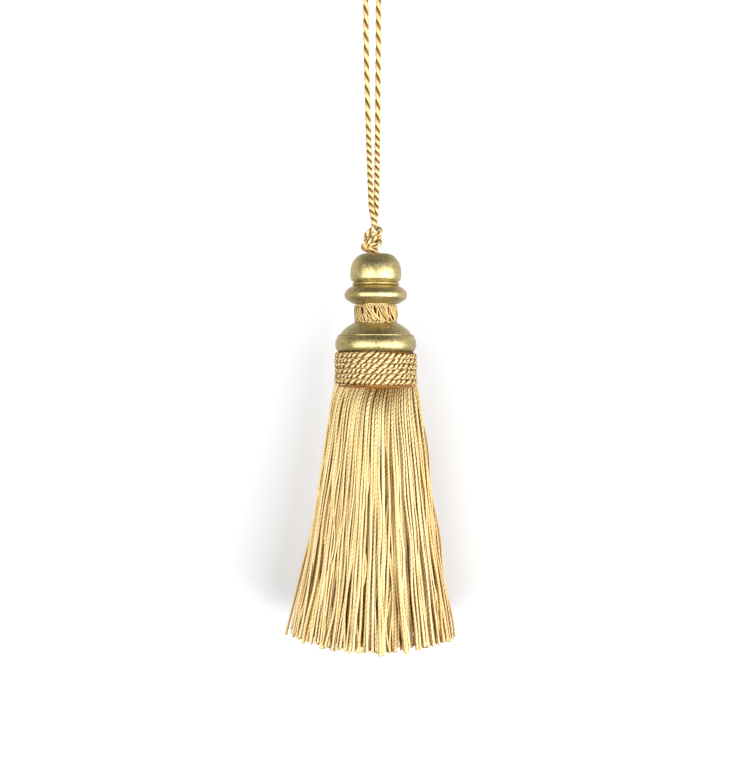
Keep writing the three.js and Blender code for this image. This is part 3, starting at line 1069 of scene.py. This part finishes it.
@dataclass
class CordBand:
    """Two-ply cord wound side by side under the bell. Each turn steps to the next row at the back.

    The small differences are sums of sines of the angle wound. Angles are in radians.

    Attributes:
        turns: Turns of cord, one for each row.
        cord_diameter: The cord's thickness. It is more than a row's height, so the rows press together.
        gap: What is left free under the bell.
        outer_radius: From the tassel's axis to the outside of the cord.
        ply_depth: How deep the grooves between the plies are, as a share of the radius.
        lay: Which way the plies slant.
        twists_per_turn: Full turns of the plies in one turn of cord.
        front_twist: How much the twist tightens in front and behind, and slackens at the sides.
        twist_waver: How unevenly it was twisted.
        twist_waves: Where it is uneven: waves in a radian and phase of each sine.
        rings_per_turn: Rings along one turn of cord.
        around: Points round the cord.
        tilt: How far the rows fall to the right and rise to the left.
        waver: How unevenly the rows lie.
        level_waves: Where they are uneven: waves in a radian and phase of each sine.
        plump: By what share the cord is thicker and thinner on its way.
        step_share: The share of a turn on each side of the back in which the cord steps up.
        tuck: How far in each end is tucked.
        tuck_length: The length of cord that leads in.
        painted_seam_shade: The shade painted on the rows' edges at the left and right, where the band
            turns away.
    """

    turns: int = 6
    cord_diameter: float = 2.5
    gap: float = 0.16
    outer_radius: float = 15.6
    ply_depth: float = 0.75
    lay: Lay = Lay.S
    twists_per_turn: float = 18.6
    front_twist: float = 1.25
    twist_waver: float = 0.7
    twist_waves: tuple = ((3.1, 2.0), (7.7, 0.0))
    rings_per_turn: int = 400
    around: int = 24
    tilt: float = 0.28
    waver: float = 0.07
    level_waves: tuple = ((2.3, 0.0), (3.7, 1.0), (5.9, 2.0))
    plump: float = 0.05
    step_share: float = 0.12
    tuck: float = 1.7
    tuck_length: float = 5.0
    painted_seam_shade: float = 0.9

    def rows(self, wound: Array) -> Array:
        """The row that the cord lies in: it steps up smoothly where a turn ends and the next starts.

        Args:
            wound: The turns wound so far.

        Returns:
            The row, from 0 for the lowest, with the steps as fractions.
        """
        share = wound % 1
        leaving = ease(share, -self.step_share, self.step_share) - 1
        arriving = ease(share, 1 - self.step_share, 1 + self.step_share)
        step = np.where(share < 0.5, leaving, arriving)
        return np.clip(np.floor(wound) + step, 0, self.turns - 1)

    def build(self, silk: bpy.types.Material) -> None:
        """Winds the cord from the lowest row up, a little unevenly.

        Args:
            silk: The cord's material.
        """
        place = Place.of("cord_band")
        pitch = (place.high - self.gap - place.low) / self.turns
        wound = np.linspace(0, self.turns, self.turns * self.rings_per_turn)
        angle = TURN * wound + TURN / 4
        uneven = sum(np.sin(waves * angle + phase) for waves, phase in self.level_waves)
        middle = place.low + pitch * (0.5 + self.rows(wound))
        height = middle - self.tilt * np.cos(angle) + self.waver * uneven
        ends = np.minimum(wound, self.turns - wound) * TURN * self.outer_radius
        tucked = self.tuck * (1 - ease(ends, 0, self.tuck_length))
        radius = self.outer_radius - self.cord_diameter / 2 - tucked + self.waver * np.sin(4.3 * angle)
        path = polar(radius, angle, height) + [place.x, place.y, 0]
        turns = self.lay.value * TURN * self.twists_per_turn * wound
        turns = turns + self.twist_waver * sum(np.sin(waves * angle + phase)
                                               for waves, phase in self.twist_waves)
        turns = turns + self.front_twist * np.sin(2 * angle)
        thickness = (1 + self.plump * np.sin(8.3 * angle) * np.sin(3.3 * angle)) * self.cord_diameter / 2
        up = np.array([[0.0, 0.0, 1.0]])
        tubes = plied_cord(path[None], thickness[None], turns[None], up, self.around, self.ply_depth)
        # Painted shade along each row's upper and lower edges, strongest at the left and right.
        rise = np.abs(tubes.points[..., 2] - path[None, :, None, 2]) * 2 / self.cord_diameter
        painted_seam_shade = self.painted_seam_shade * (np.cos(angle) ** 2)[None, :, None] * rise**3
        tubes.marks["groove"] = np.clip(tubes.marks["groove"] + painted_seam_shade, 0, 1)
        dress(tube_object("band_wound_cord", tubes), silk, "band_cord", "cord_band")


@dataclass
class Binding:
    """The thin binding thread wound twice under the cord band.

    Attributes:
        thread_diameter: The thread's thickness.
        rows: The two turns: their level as a share of the node's height, and the phase of their waves.
        rings: Rings round one turn.
        around: Points round the thread.
    """

    thread_diameter: float = 0.55
    rows: tuple = ((0.27, 0.3), (0.73, 1.9))
    rings: int = 240
    around: int = 8

    def build(self, thread: bpy.types.Material) -> None:
        """Two closed turns of thread, one above the other, each with a long and a short wave.

        Args:
            thread: The thread's material.
        """
        place = Place.of("binding")
        low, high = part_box("binding")
        radius = (high[0] - low[0]) / 2 / MM - self.thread_diameter / 2
        angle = np.arange(self.rings) / self.rings * TURN
        row, phase = np.array(self.rows)[:, :1], np.array(self.rows)[:, 1:]
        level = place.low + row * (place.high - place.low)
        wander = 0.13 * np.sin(4 * angle + phase) + 0.07 * np.sin(11 * angle + 2 * phase)
        paths = polar(radius, angle, level + wander) + [place.x, place.y, 0]
        normals = unit((paths - [place.x, place.y, 0]) * [1, 1, 0])
        binormals = np.cross(unit(np.roll(paths, -1, 1) - np.roll(paths, 1, 1)), normals)
        bearing = np.arange(self.around) / self.around * TURN
        out = self.thread_diameter / 2
        points = (
            paths[:, :, None]
            + out * np.cos(bearing)[None, None, :, None] * normals[:, :, None]
            + out * np.sin(bearing)[None, None, :, None] * binormals[:, :, None]
        )
        along = np.broadcast_to(np.arange(self.rings) * 0.4, (2, self.rings))
        piece = tube_object("binding_thread", Tubes(points, along, {}, closed=True))
        dress(piece, thread, "brown_thread", "binding")


@dataclass(frozen=True)
class YarnLayer:
    """A ring of yarns: its count, its radius at the roots and at the hem, and how finely it is made."""

    count: int
    root: float
    hem: float
    rings: int
    around: int


@dataclass(frozen=True)
class Lock:
    """A wave round the skirt that draws its yarns together into locks.

    Attributes:
        around: Locks in one turn of the skirt.
        reach: How far a yarn is drawn aside at the hem, in radians.
        phase: Where the wave starts, in radians.
        drift: How far the wave has moved on at the hem, in radians.
    """

    around: int
    reach: float
    phase: float
    drift: float


@dataclass(frozen=True)
class LooseEnd:
    """A yarn of the outermost layer that has come away from the others at the hem.

    Attributes:
        bearing: Where it hangs, in degrees anticlockwise from the right, seen from above.
        reach: How far out it stands at the hem.
        shorter: How much shorter it is than its neighbours.
    """

    bearing: float
    reach: float
    shorter: float


@dataclass
class Skirt:
    """The skirt: layers of twisted yarn that spread from under the binding to a level cut.

    A place down a yarn is t, from 0 at its root to 1 at its hem. Angles are in radians. "Scatter" is
    the usual difference between one yarn and another.

    Attributes:
        length: A yarn's length in the middle of the front.
        length_scatter: How much the lengths differ.
        layer_rise: How much shorter each layer is than the one outside it.
        side_rise: How much higher the hem is at the sides.
        side_even: The share of that which both sides have.
        side_left: The share that the left side has more, and the right side less.
        yarn_diameter: A yarn's thickness.
        swell: By what share the yarns thicken from root to hem, as their twist opens out.
        root_press: By what share the binding presses them flat in front.
        cut_swell: By what share they open out at their cut ends.
        shoulder: How much further than evenly the skirt has spread just under the binding.
        shoulder_drop: How soon it has done so.
        flare: The share of its spread that comes late, with the cube of t.
        hem_drift: How far to the right the hem hangs, below 0 for the left.
        root_slant: How far round the yarns slant under the binding.
        slant_fade: The length in which that slant fades.
        front_reach: How far round from the middle the front reaches.
        front_tuck: How far in the front roots are pressed by the binding.
        front_layers: How many layers are pressed in.
        side_out: How far out the other roots lie.
        overlap: How far over the binding's foot the roots start.
        side_overlap: How much higher they start beside the front.
        root_scatter: How much the root radii differ.
        hem_scatter: How much the hem radii differ.
        seat_scatter: How much the places round the binding differ, in yarns.
        strays: The share of yarns that stray from their lock.
        stray_scatter: How far they stray.
        stray_out: How far out they stand at the hem, for each radian that they stray.
        lean_scatter: How much the yarns lean to one side.
        wobble_scatter: How far they wander from side to side at the hem.
        bulge_scatter: How far they wander in and out.
        layer_phase: How far the locks have moved on from one layer to the next.
        painted_cut_end_light: How much paler the cut ends are painted, as painted light.
        painted_layer_shade: How much more shade is painted on each layer further in.
        painted_layer_shade_limit: The most painted shade that a layer starts from.
        side_painted_shade: How dark the yarns' sides are painted, as shade.
        opening: How far the twist opens out below the binding.
        sways: The fewest and most times that a yarn wanders from side to side.
        bulges: The fewest and most times that it wanders in and out, in halves.
        loosening: Where the strays start to leave their lock, as t.
        leaning: The power of t by which a yarn's lean grows, at least and at most.
        sizes: The thinnest and thickest yarn, as a share of its thickness.
        windings: The loosest and tightest twist, as turns in one usual turn.
        seed: Starts the random draws.
        locks: The waves of the locks.
        loose_ends: The yarns that hang loose.
    """

    length: float = 95.8
    length_scatter: float = 0.5
    layer_rise: float = 0.15
    side_rise: float = 2.6
    side_even: float = 0.82
    side_left: float = 0.43
    yarn_diameter: float = 0.92
    swell: float = 0.3
    root_press: float = 0.4
    cut_swell: float = 0.25
    shoulder: float = 0.07
    shoulder_drop: float = 0.05
    flare: float = 0.13
    hem_drift: float = -1.6
    root_slant: float = 0.17
    slant_fade: float = 5.0
    front_reach: float = 0.75
    front_tuck: float = 1.9
    front_layers: int = 4
    side_out: float = 0.15
    overlap: float = 0.3
    side_overlap: float = 1.1
    root_scatter: float = 0.15
    hem_scatter: float = 0.9
    seat_scatter: float = 0.25
    strays: float = 0.15
    stray_scatter: float = 0.08
    stray_out: float = 7.0
    lean_scatter: float = 0.045
    wobble_scatter: float = 1.05
    bulge_scatter: float = 0.27
    layer_phase: float = 1.3
    painted_cut_end_light: float = 0.3
    painted_layer_shade: float = 0.08
    painted_layer_shade_limit: float = 0.32
    side_painted_shade: float = 0.6
    opening: float = 0.45
    sways: tuple[float, float] = (0.7, 3.0)
    bulges: tuple[float, float] = (1.5, 7.0)
    loosening: tuple[float, float] = (0.2, 0.6)
    leaning: tuple[float, float] = (0.8, 2.2)
    sizes: tuple[float, float] = (0.66, 1.2)
    windings: tuple[float, float] = (0.65, 1.35)
    seed: int = 58
    locks: tuple[Lock, ...] = (
        Lock(around=17, reach=0.0025, phase=0.4, drift=-3.6),
        Lock(around=31, reach=0.0045, phase=2.2, drift=5.4),
        Lock(around=53, reach=0.007, phase=4.1, drift=-6.2),
        Lock(around=7, reach=0.003, phase=1.0, drift=1.5),
    )
    loose_ends: tuple[LooseEnd, ...] = (
        LooseEnd(bearing=180, reach=2.2, shorter=-1.0), LooseEnd(bearing=187, reach=1.0, shorter=1.5),
        LooseEnd(bearing=173, reach=0.6, shorter=3.0), LooseEnd(bearing=357, reach=0.6, shorter=2.0),
        LooseEnd(bearing=4, reach=0.3, shorter=3.5),
    )

    def layers(self) -> dict[str, list[YarnLayer]]:
        """The layers of each piece, from the outside in.

        Returns:
            Each piece's layers by its name, with fewer points in the yarns that hardly show.
        """
        return {
            "skirt_outer_yarns": [
                YarnLayer(118, 14.7, 29.3, 72, 8), YarnLayer(116, 14.1, 28.4, 72, 8),
            ],
            "skirt_middle_yarns": [
                YarnLayer(110, 13.4, 27.2, 56, 7), YarnLayer(102, 12.5, 25.6, 44, 6),
                YarnLayer(92, 11.5, 23.6, 36, 6),
            ],
            "skirt_inner_yarns": [
                YarnLayer(64, 10.3, 20.6, 20, 6), YarnLayer(54, 9.0, 17.6, 18, 5),
                YarnLayer(46, 7.6, 14.5, 18, 5), YarnLayer(36, 6.0, 11.2, 18, 5),
                YarnLayer(26, 4.3, 7.7, 18, 5), YarnLayer(15, 2.5, 4.4, 18, 5),
                YarnLayer(6, 0.9, 1.5, 18, 5),
            ],
        }

    def build(self, silk: bpy.types.Material) -> None:
        """Makes the pieces of the skirt and the heading that holds their roots.

        Args:
            silk: The yarn's material.
        """
        place = Place.of("binding")
        random = np.random.default_rng(self.seed)
        depth = 0
        for name, layers in self.layers().items():
            for number, layer in enumerate(layers):
                tubes = self.yarns(layer, depth, place, random)
                piece = tube_object(f"{name}_{number + 1}", tubes)
                dress(piece, silk, "silk_yarn", *(["skirt"] if depth == 0 else []))
                depth += 1
        self.heading(place, silk)

    def spread(self, t: Array) -> Array:
        """How far the skirt has spread: mostly even, with a quick shoulder at the top and a late flare.

        Args:
            t: The place down the yarn.

        Returns:
            The share of the way from the root radius to the hem radius.
        """
        shoulder = self.shoulder * (1 - t) * (1 - np.exp(-t / self.shoulder_drop))
        return (1 - self.flare) * t + self.flare * t**3 + shoulder

    def in_front(self, start: Array) -> Array:
        """How far to the front a yarn hangs: a bell curve of its angle from the middle of the front."""
        away = np.abs((start + TURN / 4 + TURN / 2) % TURN - TURN / 2)
        return np.exp(-((away / self.front_reach) ** 2))

    def drawn_aside(self, start: Array, t: Array, depth: int) -> Array:
        """How far round each yarn is drawn into its locks: the sum of the locks' sines.

        Args:
            start: The yarns' angles at the binding.
            t: The place down the yarn.
            depth: The layer's number from the outside.

        Returns:
            The angle at the hem, at each place.
        """
        onward = self.layer_phase * depth
        return sum(
            lock.reach * np.sin(lock.around * start + lock.phase + onward + lock.drift * t)
            for lock in self.locks
        )

    def yarns(self, layer: YarnLayer, depth: int, place: Place, random: np.random.Generator) -> Tubes:
        """One layer of yarns.

        Each yarn starts slanting under the binding, falls on a curve from the root radius to the hem
        radius, is drawn to its neighbours in locks, and wanders a little: its angle is its start, the
        slant, the locks' pull and its own lean and wobble, which grow with t.

        Args:
            layer: The layer's count, radii and fineness.
            depth: The layer's number from the outside.
            place: Where the binding stands, which gives the skirt's axis.
            random: The source of the yarns' differences.

        Returns:
            The yarns' tubes, marked with each yarn's own "shade", with painted light at the cut ends,
            with "groove" for the shade painted where they lie deep and "open" where their twist has
            opened out.
        """
        count = layer.count
        each = (count, 1)
        t = np.linspace(0, 1, layer.rings)[None, :] ** 1.3
        below = t * self.length
        seats = np.arange(count) + 0.5 * (depth % 2) + random.normal(0, self.seat_scatter, count)
        start = seats[:, None] / count * TURN
        front = self.in_front(start)
        tuck = self.front_tuck * front * (depth < self.front_layers)
        root = layer.root + self.side_out * (1 - front) - tuck + random.normal(0, self.root_scatter, each)
        hem = layer.hem + random.normal(0, self.hem_scatter, each)
        side = np.cos(start) ** 4 * (self.side_even - self.side_left * np.cos(start))
        fall = self.length - self.side_rise * side + random.normal(0, self.length_scatter, each)
        fall = fall - self.layer_rise * depth
        stray = (random.random(each) < self.strays) * random.normal(0, self.stray_scatter, each)
        lean = random.normal(0, self.lean_scatter, each)
        sway = random.uniform(*self.sways, each)
        wobble = random.normal(0, self.wobble_scatter, each)
        wobble = wobble * np.sin(TURN * (sway * t + random.random(each))) * t * (1 - 0.4 * t)
        slant = self.root_slant * np.exp(-below / self.slant_fade)
        bulge = random.normal(0, self.bulge_scatter, each)
        bulge = bulge * np.sin(np.pi * t * random.uniform(*self.bulges, each))
        loose = ease(t, random.uniform(*self.loosening, each), 1.1)
        radius = root + (hem - root) * self.spread(t) + bulge + np.abs(stray) * self.stray_out * loose
        angle = start + slant + self.drawn_aside(start, t, depth) * t
        angle = angle + lean * t ** random.uniform(*self.leaning, each) + stray * loose + wobble / radius
        if depth == 0:
            for end in self.loose_ends:
                yarn = round(end.bearing / 360 * count) % count
                radius[yarn] += end.reach * ease(t[0], 0.5, 1.0)
                fall[yarn] -= end.shorter
        top = place.low + self.overlap + self.side_overlap * (1 - front)
        top = top - random.random(each) * front
        paths = polar(radius, angle, top - fall * t)
        paths[..., 0] += place.x + self.hem_drift * t**2
        paths[..., 1] += place.y
        size = self.yarn_diameter / 2 * random.uniform(*self.sizes, each)
        pressed = self.root_press * front * np.exp(-below / 5.0)
        thickness = size * (0.9 + self.swell * t - pressed + self.cut_swell * ease(t, 0.98, 1.0))
        turns = np.broadcast_to(random.random(each) * TURN, radius.shape)
        first = polar(np.ones(count), start[:, 0], np.zeros(count))
        tubes = plied_cord(paths, thickness, turns, first, layer.around, depth=0.0)
        tubes.along = tubes.along * random.uniform(*self.windings, each) + random.uniform(0, 9, each)
        self.shade(tubes, turns, t, front, depth, random)
        return tubes

    def shade(
        self, tubes: Tubes, turns: Array, t: Array, front: Array, depth: int, random: np.random.Generator
    ) -> None:
        """Marks the yarns: painted light at their cut ends, painted shade at their sides, roots and in
        inner layers.

        The painted shade of the sides counts less near the binding, where the yarns are pressed flat, and
        towards the hem, where light comes in between them. At the front roots it is a painted shadow
        under the binding.

        Args:
            tubes: The yarns' tubes.
            turns: How far each yarn is turned about itself.
            t: The place down the yarn.
            front: How far to the front each yarn hangs.
            depth: The layer's number from the outside.
            random: The source of the yarns' differences.
        """
        below = t * self.length
        count, _, around = tubes.points.shape[:3]
        own = random.random((count, 1, 1))
        # Each yarn's own random tone, with painted light at its cut end.
        pale = np.clip(own + self.painted_cut_end_light * ease(t, 0.975, 1.0)[..., None], 0, 1)
        # Painted shade on each yarn's sides.
        sides = flank(np.arange(around) / around * TURN + turns[..., None])
        # A painted shadow under the binding, on the roots in front.
        roots = random.uniform(0.3, 0.85, (count, 1)) * front * np.exp(-((below / 6.0) ** 2))
        # How much the painted side shade counts down the yarn.
        packed = 0.55 + 0.45 * ease(below, 8.0, 35.0) - 0.2 * ease(below, 60.0, 95.0)
        # Painted shade, more on each layer further in, all gathered in the "groove" mark.
        inner = min(self.painted_layer_shade * depth, self.painted_layer_shade_limit)
        deep = np.clip(inner + self.side_painted_shade * sides * packed[..., None] + roots[..., None], 0, 1)
        # Where the twist has opened out, its lines fade and its painted shade grows warmer.
        opened = self.opening * ease(below, 5.0, 40.0)[..., None]
        tubes.marks = {
            "shade": np.broadcast_to(pale, deep.shape), "groove": deep,
            "open": np.broadcast_to(opened, deep.shape),
        }

    def heading(self, place: Place, silk: bpy.types.Material) -> None:
        """The wound heading that holds the roots, painted all in shade: a drum inside the band and a rim
        under the bell.

        Args:
            place: Where the binding stands.
            silk: The yarn's material.
        """
        band = Place.of("cord_band")
        drum = np.array([
            (0.0, place.low - 0.6), (13.2, place.low - 0.6), (14.0, place.low - 0.2),
            (14.0, place.low + 0.3), (13.2, place.low + 0.5), (13.2, band.high - 0.7),
            (14.1, band.high - 0.5), (14.2, band.high + 0.2), (0.0, band.high + 0.2),
        ])
        # Its "groove" mark is full, so it is painted all in the shade colour, a dark sheet where shade
        # falls.
        piece = lathe_object("skirt_heading", drum, segments=96, centre=(place.x, place.y), groove=1.0)
        dress(piece, silk, "silk_yarn")


# ---------------------------------------------------------------- studio


@dataclass
class Studio:
    """The camera, the two soft boxes, the pale wall behind and the floor below.

    Attributes:
        camera_distance: From the tassel's axis to the camera.
        view_centre: The middle of the view, as x and z.
        view_height: The longer side of the view, at the tassel.
        sensor: The camera's sensor.
        near: The distance from which the camera sees, in metres.
        wall_distance: From the tassel's axis to the wall.
        floor_level: The height of the floor.
        reach: How far wall and floor reach.
        bend: The radius of the bend between them.
        paper: The colour of wall and floor.
        light_distance: From the tassel to the soft boxes, in metres.
        room_colour: The colour of the room's light.
        room_behind: How bright the room is in front of the tassel and behind it.
        room_above: How bright it is overhead, beside its level parts.
        room_below: How bright it is underfoot, beside its level parts.
        room_seen: How bright the camera sees it.
    """

    camera_distance: float = 750.0
    view_centre: tuple[float, float] = (1.12, -167.7)
    view_height: float = 291.4
    sensor: float = 36.0
    near: float = 0.01
    wall_distance: float = 38.0
    floor_level: float = -420.0
    reach: float = 2600.0
    bend: float = 120.0
    paper: str = "#cccccd"
    light_distance: float = 2.0
    room_colour: str = "#fffdfa"
    room_behind: tuple[float, float] = (0.1, 1.08)
    room_above: float = 0.35
    room_below: float = 0.2
    room_seen: float = 0.97

    def camera(self) -> None:
        """The camera, level with the middle of the view."""
        data = bpy.data.cameras.new("camera")
        data.sensor_width = self.sensor
        data.lens = self.sensor * self.camera_distance / self.view_height
        data.clip_start = self.near
        camera = bpy.data.objects.new("camera", data)
        x, z = self.view_centre
        camera.location = (x * MM, -self.camera_distance * MM, z * MM)
        camera.rotation_euler = (math.pi / 2, 0, 0)
        bpy.context.scene.collection.objects.link(camera)
        bpy.context.scene.camera = camera

    def soft_box(
        self, name: str, bearing: float, size: tuple[float, float], power: float, lift: float
    ) -> None:
        """A soft box at a bearing from the view's axis, turned to the tassel.

        Args:
            name: The lamp's name.
            bearing: Degrees to the right of the camera, as seen from the tassel.
            size: Width and height in metres.
            power: Watts.
            lift: Metres above the camera's level.
        """
        data = bpy.data.lights.new(name, "AREA")
        data.shape = "RECTANGLE"
        data.size, data.size_y = size
        data.energy = power
        lamp = bpy.data.objects.new(name, data)
        turn = math.radians(bearing)
        distance = self.light_distance
        middle = (self.view_centre[0] * MM, self.view_centre[1] * MM)
        aside, ahead = distance * math.sin(turn), -distance * math.cos(turn)
        lamp.location = (middle[0] + aside, ahead, middle[1] + lift)
        lamp.rotation_euler = (math.pi / 2 - math.atan2(lift, distance), 0, turn)
        lamp.visible_camera = False
        bpy.context.scene.collection.objects.link(lamp)

    def world(self) -> None:
        """A room that is dim in front and overhead, and white beside and behind the tassel."""
        world = bpy.data.worlds.new("room")
        world.use_nodes = True
        tree = world.node_tree
        tree.nodes.clear()
        direction = add_node(tree, "TexCoord").outputs["Generated"]
        parts = add_node(tree, "SeparateXYZ", {"Vector": direction})
        front, behind = self.room_behind
        back = add_node(tree, "MapRange", {
            "Value": parts.outputs["Y"], "From Min": -0.7, "From Max": 0.4, "To Min": front,
            "To Max": behind,
        }, interpolation_type="SMOOTHSTEP")
        above = add_node(tree, "MapRange", {
            "Value": parts.outputs["Z"], "From Min": 0.3, "From Max": 1.0, "To Min": 1.0,
            "To Max": self.room_above,
        }, interpolation_type="SMOOTHSTEP")
        below = add_node(tree, "MapRange", {
            "Value": parts.outputs["Z"], "From Min": -0.9, "From Max": -0.2, "To Min": self.room_below,
            "To Max": 1.0,
        }, interpolation_type="SMOOTHSTEP")
        height = add_node(tree, "Math", {0: above.outputs[0], 1: below.outputs[0]}, operation="MULTIPLY")
        room = add_node(tree, "Math", {0: back.outputs[0], 1: height.outputs[0]}, operation="MULTIPLY")
        sight = add_node(tree, "LightPath").outputs["Is Camera Ray"]
        level = add_node(tree, "Mix", {"Factor": sight, "A": room.outputs[0], "B": self.room_seen})
        light = add_node(tree, "Background", {"Color": srgb(self.room_colour),
                                              "Strength": level.outputs["Result"]})
        add_node(tree, "OutputWorld", {"Surface": light.outputs["Background"]})
        bpy.context.scene.world = world

    def backdrop(self) -> None:
        """A white wall that bends into the floor: seen from in front only, and it shades nothing.

        Its section runs straight down the wall, round a quarter of a circle and straight along the floor.
        """
        bend = np.linspace(0, math.pi / 2, 12)
        wall_y, floor_z = self.wall_distance, self.floor_level
        curve_y = wall_y - self.bend * (1 - np.cos(bend))
        curve_z = floor_z + self.bend * (1 - np.sin(bend))
        rows = np.concatenate([
            [[wall_y, self.reach]],
            np.stack([curve_y, curve_z], axis=1),
            [[wall_y - self.reach, floor_z]],
        ])
        columns = np.linspace(-self.reach, self.reach, 3)
        points = np.stack([
            np.broadcast_to(columns[None, :], (len(rows), 3)),
            np.broadcast_to(rows[:, None, 0], (len(rows), 3)),
            np.broadcast_to(rows[:, None, 1], (len(rows), 3)),
        ], axis=-1)
        index = np.arange(len(rows) * 3).reshape(len(rows), 3)
        quads = np.stack([index[:-1, :-1], index[1:, :-1], index[1:, 1:], index[:-1, 1:]], axis=-1)
        quads = quads.reshape(-1, 4)
        wall = fill_mesh("backdrop", points.reshape(-1, 3), [quads], np.zeros((quads.size, 2)), {})
        # Matt white paper: it gives back nearly all the light and has no gleam.
        material, tree, shader = new_material("white paper backdrop")
        shader.inputs["Base Color"].default_value = srgb(self.paper)
        shader.inputs["Roughness"].default_value = 0.9
        shader.inputs["Specular IOR Level"].default_value = 0.1
        clear = add_node(tree, "BsdfTransparent")
        behind = add_node(tree, "NewGeometry").outputs["Backfacing"]
        seen = add_node(tree, "MixShader", {0: behind, 1: shader.outputs["BSDF"],
                                            2: clear.outputs["BSDF"]})
        tree.links.new(seen.outputs[0], tree.nodes["Material Output"].inputs["Surface"])
        wall.data.materials.append(material)
        wall.visible_shadow = False
        wall.visible_diffuse = False
        wall.visible_glossy = False

    def build(self) -> None:
        """Sets the room up round the tassel."""
        self.soft_box("soft_box_right", bearing=45, size=(2.8, 1.6), power=94.0, lift=-0.31)
        self.soft_box("soft_box_left", bearing=-32, size=(2.3, 1.6), power=66.0, lift=-0.31)
        self.world()
        self.backdrop()
        scene = bpy.context.scene
        scene.view_settings.view_transform = "Standard"
        scene.cycles.use_denoising = True


def main() -> None:
    """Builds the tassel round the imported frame."""
    logging.basicConfig(level=logging.INFO, format="%(name)s: %(message)s")
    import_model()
    studio = Studio()
    studio.camera()
    cord, band, yarn = CORD_SILK.build(), BAND_SILK.build(), YARN_SILK.build()
    gimp, brown = GIMP_SILK.build(), BROWN_THREAD.build()
    CordLoop().build(cord)
    Head().build(GoldPaint().build())
    NeckGimp().build(gimp)
    CordBand().build(band)
    Binding().build(brown)
    Skirt().build(yarn)
    studio.build()


if __name__ == "__main__":
    main()
